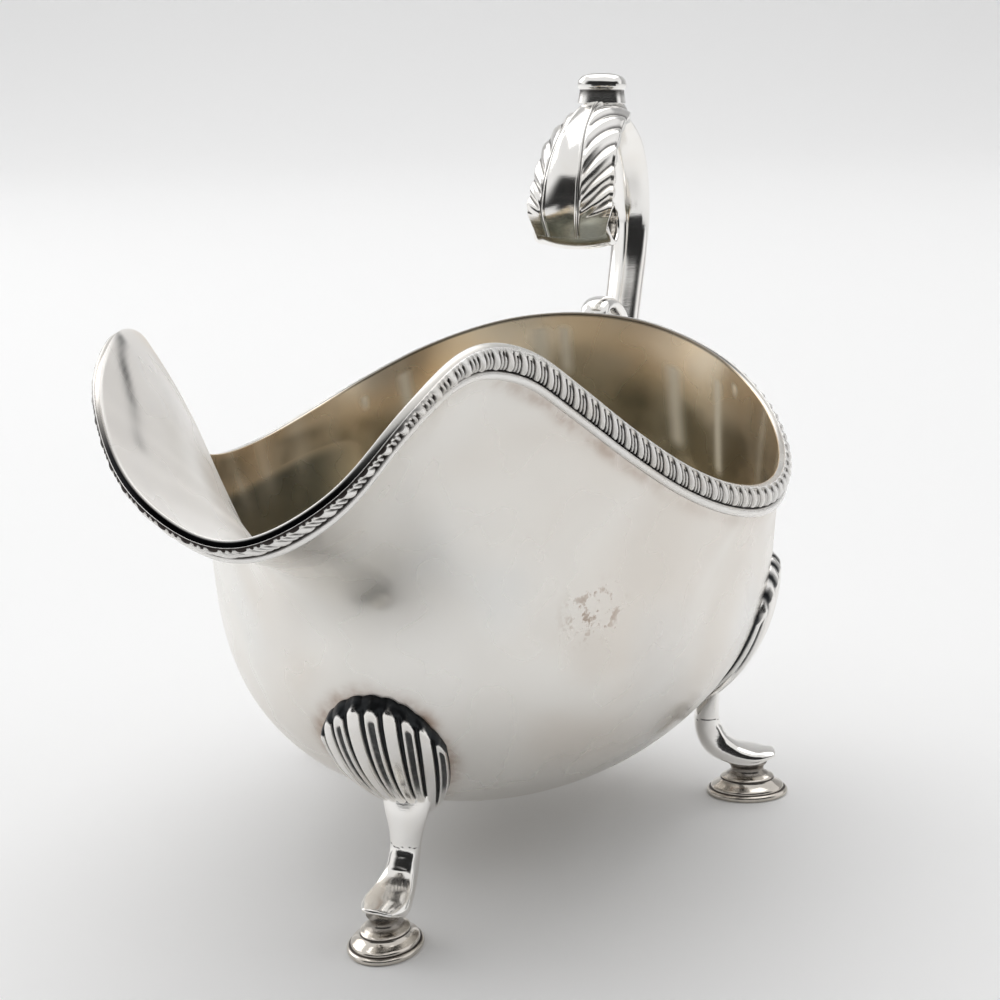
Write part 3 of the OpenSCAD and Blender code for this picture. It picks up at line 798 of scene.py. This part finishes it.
def build_leaf():
    """A leaf with a smooth band down the middle between two ribs, and swept lobes out to a scalloped edge."""
    steps, across = 220, 170
    t = np.linspace(0, 1, steps + 1)
    c = spline(LEAF_LINE, t)
    d = unit(spline(LEAF_LINE, np.minimum(t + 0.02, 1)) - spline(LEAF_LINE, np.maximum(t - 0.02, 0)))
    x = np.linspace(-1, 1, across + 1)[None, :]
    tt = t[:, None]
    width = LEAF_W / 2 * (0.6 + 0.4 * np.sin(np.minimum(tt * 1.35, 1) * math.pi / 2))
    width = width * (1 - 0.16 * smooth((tt - 0.7) / 0.3))
    ax = np.abs(x + 0.19)
    rib_at = mix(0.2, 0.4, smooth(tt / 0.55))
    rib = np.exp(-(((ax - rib_at) / 0.024) ** 2))
    groove = 0.8 * np.exp(-(((ax - rib_at - 0.05) / 0.024) ** 2))
    s = np.clip((ax - rib_at) / (1 - rib_at), 0, 1.2)
    phase = LEAF_LOBES * (tt + 0.2 * s**0.8)
    lobe = np.abs(np.sin(math.pi * phase))
    outer = smooth((s - 0.1) / 0.12) * smooth((0.8 - tt) / 0.12)
    notch = 1 + 0.05 * (lobe - 0.6) * smooth((s - 0.5) / 0.5) * outer
    drift = 0.7 * tt
    px = x * width * notch - drift
    arch = (2.9 - 2.0 * smooth((tt - 0.5) / 0.3)) * x * x
    lift = 1.3 - arch + 0.12 * rib - 0.14 * groove + outer * 0.62 * (lobe - 0.75)
    front = np.stack([c[:, :1] - d[:, 1:] * lift, px + 0 * tt, c[:, 1:] + d[:, :1] * lift], -1)
    under = 0.15 - arch - 0.35 * smooth((np.abs(x) - 0.8) / 0.2)
    narrower = (px + drift) * 0.985 - drift
    back = np.stack([c[:, :1] - d[:, 1:] * under, narrower, c[:, 1:] + d[:, :1] * under], -1)
    cavity = np.clip(groove * 0.9 + outer * (1 - lobe) ** 2 * 0.75, 0, 1)
    cavity = np.concatenate([cavity[:, ::-1].ravel(), np.full(cavity.size, 0.3)])
    slab_mesh("handle_leaf", at_back(front)[:, ::-1], at_back(back)[:, ::-1],
              {"cavity": cavity}, node="handle_leaf_cap", slot="cast_silver", material=mat_cast)


build_leaf()

VOLUTE_LINE = [(3.9, 93.0), (3.4, 91.5), (2.1, 90.2), (0.1, 89.9), (-2.0, 91.8), (-2.1, 94.6), (-0.1, 96.4),
               (2.1, 95.6), (2.8, 93.8), (1.9, 92.6)]
VOLUTE_SIZE = [(6.9, 0.4), (7.2, 0.6), (7.4, 0.7), (7.4, 0.7), (7.3, 0.65), (7.1, 0.6), (6.9, 0.55),
               (6.6, 0.5), (6.3, 0.5), (6.0, 0.45)]
VOLUTE_MIDDLE = (1.3, 93.3)


def strap_shape(q, t):
    """Thicker along both edges, like a rolled strip."""
    bead = smooth((np.abs(np.sin(q)) - 0.78) / 0.2)
    return np.stack([np.ones(len(q)), 1 + 0.9 * bead], 1)


rows = tube(VOLUTE_LINE, VOLUTE_SIZE, 170, 72, strap_shape)
swell_from = rows - np.array([VOLUTE_MIDDLE[0], 0, VOLUTE_MIDDLE[1]])
swell_from[:, :, 1] = 0
rows = rows + unit(swell_from) * (0.8 * np.clip(1 - (rows[:, :, 1:2] / 7.4) ** 2, 0, 1))
rows = at_back(rows) + np.array([0, -0.5, 0])
tube_mesh("handle_rolled_end", rows, {"cavity": np.zeros(rows.shape[:2])}, node="handle_volute",
          slot="cast_silver", material=mat_cast)

# the block's outline as height and share of its full width
THUMB = [(-0.9, 1.02), (0.0, 0.98), (0.7, 0.95), (1.3, 0.93), (1.7, 0.96), (2.1, 1.01), (2.8, 1.02),
         (3.5, 0.95), (4.1, 0.8), (4.5, 0.5)]


def build_thumb_rest():
    """A small block, square with rounded corners, with a dark groove round its neck."""
    sides = 64
    q = np.arange(sides) * 2 * math.pi / sides
    box = 0.75
    cx = np.sign(np.cos(q)) * np.abs(np.cos(q)) ** box
    cy = np.sign(np.sin(q)) * np.abs(np.sin(q)) ** box
    rows = np.array([np.stack([3.4 * w * cx, 4.3 * w * cy, np.full(sides, z)], 1)
                     for z, w in spline(THUMB, np.linspace(0, 1, 50))])
    m = np.array(Matrix.Rotation(math.radians(-6), 3, "Y"))
    pts = at_back(rows.reshape(-1, 3) @ m.T + np.array([-14.8, 0, 113.9])).reshape(rows.shape)
    z = rows[:, :, 2]
    cavity = 0.66 * smooth((1.75 - z) / 0.3) * (0.3 + 0.7 * smooth((z + 0.3) / 1.7))
    tube_mesh("thumb_block", pts, {"cavity": cavity}, node="thumb_rest", slot="cast_silver", material=mat_cast)


build_thumb_rest()

SPUR_LINE = [(-24, 70.5), (-19.4, 74), (-14, 76.2), (-9.4, 76), (-8, 73.4), (-10, 71.8)]
SPUR_SIZE = [(2.6, 1.2), (2.9, 1.3), (2.9, 1.4), (2.7, 1.4), (2.5, 1.2), (2, 0.8)]
rows = at_back(tube(SPUR_LINE, SPUR_SIZE, 60, 32))
tube_mesh("spur_curl", rows, {"cavity": np.zeros(rows.shape[:2])}, node="spur_scroll", slot="cast_silver",
          material=mat_cast)


# ---------------------------------------------------------------- stage, light and camera
CAMERA_AT = Vector((LIP_X + 228.2, 113.0, 142.1)) * MM
CAMERA_YAW, CAMERA_PITCH, CAMERA_ROLL = math.radians(18.88), math.radians(14.23), math.radians(-1.26)
# focal length over the sensor's width
FOCAL, SENSOR = 2.2005, 36.0
# how high the dark room reaches, and the surroundings' strength at the side and overhead
DARK_TOP = 0.55
WORLD_SIDE, WORLD_TOP = 0.96, 0.8


def stage_material(name, colour, rough):
    mat, tree, bsdf = new_material(name)
    bsdf.inputs["Metallic"].default_value = 0.0
    bsdf.inputs["Base Color"].default_value = (*colour, 1.0)
    bsdf.inputs["Roughness"].default_value = rough
    bsdf.inputs["Specular IOR Level"].default_value = 0.15
    return mat


def build_stage():
    """A pale floor that sweeps up behind the object."""
    reach, radius, high, wide = 1.6, 0.5, 1.6, 9.0
    profile = [(-12.0, 0.0), (-3.0, 0.0)] + [(x, 0.0) for x in np.linspace(-1.4, reach - radius, 8)]
    for q in np.linspace(0, math.pi / 2, 24)[1:]:
        profile.append((reach - radius + radius * math.sin(q), radius - radius * math.cos(q)))
    profile.append((reach, high))
    verts, faces = [], []
    for away, z in profile:
        for side in (-wide, wide):
            verts.append((away, side, z))
    for i in range(len(profile) - 1):
        faces.append((2 * i, 2 * i + 1, 2 * i + 3, 2 * i + 2))
    mesh = bpy.data.meshes.new("floor")
    mesh.from_pydata(verts, [], faces)
    mesh.polygons.foreach_set("use_smooth", [True] * len(mesh.polygons))
    floor = bpy.data.objects.new("floor", mesh)
    floor.rotation_euler = (0, 0, math.radians(180) + CAMERA_YAW)
    bpy.context.scene.collection.objects.link(floor)
    mesh.materials.append(stage_material("pale_floor", (0.9, 0.9, 0.9), 0.6))


def area_light(name, place_at, target, size, power):
    light = bpy.data.lights.new(name, "AREA")
    light.shape = "RECTANGLE"
    light.size, light.size_y = size
    light.energy = power
    obj = bpy.data.objects.new(name, light)
    obj.location = place_at
    obj.rotation_euler = (Vector(target) - Vector(place_at)).to_track_quat("-Z", "Y").to_euler()
    bpy.context.scene.collection.objects.link(obj)


def build_camera():
    forward = Vector((-math.cos(CAMERA_YAW) * math.cos(CAMERA_PITCH), -math.sin(CAMERA_YAW) * math.cos(CAMERA_PITCH),
                      -math.sin(CAMERA_PITCH)))
    right = forward.cross(Vector((0, 0, 1))).normalized()
    up = right.cross(forward)
    c, s = math.cos(CAMERA_ROLL), math.sin(CAMERA_ROLL)
    right, up = c * right + s * up, -s * right + c * up
    data = bpy.data.cameras.new("camera")
    data.sensor_width = SENSOR
    data.sensor_fit = "HORIZONTAL"
    data.lens = FOCAL * SENSOR
    data.clip_start = 0.01
    data.clip_end = 20.0
    cam = bpy.data.objects.new("camera", data)
    rot = Matrix((right, up, -forward)).transposed().to_4x4()
    cam.matrix_world = Matrix.Translation(CAMERA_AT) @ rot
    bpy.context.scene.collection.objects.link(cam)
    bpy.context.scene.camera = cam


def build_world():
    """Even pale surroundings, with a dark room low down on the side behind the camera."""
    world = bpy.data.worlds.new("studio")
    bpy.context.scene.world = world
    world.use_nodes = True
    tree = world.node_tree
    tree.nodes.clear()
    out = tree.nodes.new("ShaderNodeOutputWorld")
    back = tree.nodes.new("ShaderNodeBackground")
    n = Nodes(tree)
    n.coords = n.coords.node.outputs["Generated"]
    split = tree.nodes.new("ShaderNodeSeparateXYZ")
    n.link(n.coords, split.inputs["Vector"])
    toward = n.math("ADD", n.math("MULTIPLY", split.outputs["X"], math.cos(CAMERA_YAW)),
                    n.math("MULTIPLY", split.outputs["Y"], math.sin(CAMERA_YAW)))
    height = split.outputs["Z"]
    room = n.ramp(toward, 0.12, 0.62)
    band = n.math("MULTIPLY", n.ramp(height, DARK_TOP + 0.1, DARK_TOP), n.ramp(height, -0.3, -0.1))
    dark = n.math("MULTIPLY", room, band)
    value = n.ramp(height, -0.1, 0.9, WORLD_SIDE, WORLD_TOP)
    n.link(n.math("MULTIPLY", value, n.ramp(dark, 0.0, 1.0, 1.0, 0.025)), back.inputs["Strength"])
    tree.links.new(back.outputs["Background"], out.inputs["Surface"])
    back.inputs["Color"].default_value = (1, 1, 1, 1)


def build_flag():
    """A dark card that only reflections see: the unlit room in front of the object, behind the camera."""
    mat, tree, bsdf = new_material("dark_card")
    bsdf.inputs["Metallic"].default_value = 0.0
    bsdf.inputs["Base Color"].default_value = (0.015, 0.015, 0.016, 1.0)
    bsdf.inputs["Roughness"].default_value = 0.8
    near, far, high, half = 0.34, 0.62, 0.16, math.radians(48)
    verts, faces = [], []
    count = 24
    for i in range(count + 1):
        a = CAMERA_YAW + mix(-half, half, i / count)
        for radius, z in ((near, 0.002), (far, 0.002), (far, high)):
            verts.append((radius * math.cos(a), radius * math.sin(a), z))
    for i in range(count):
        for k in range(2):
            faces.append((3 * i + k, 3 * i + k + 1, 3 * i + k + 4, 3 * i + k + 3))
    mesh = bpy.data.meshes.new("dark_card")
    mesh.from_pydata(verts, [], faces)
    mesh.materials.append(mat)
    card = bpy.data.objects.new("dark_card", mesh)
    bpy.context.scene.collection.objects.link(card)
    card.visible_camera = card.visible_diffuse = card.visible_shadow = False


build_camera()
build_stage()
build_world()
build_flag()
area_light("overhead", (-0.55, -0.1, 1.3), (-0.1, 0, 0), (1.5, 1.5), 8.2)
area_light("side", (-0.3, -1.1, 0.7), (0, 0, 0.05), (0.8, 0.8), 3.0)

bpy.context.scene.view_settings.view_transform = "Standard"
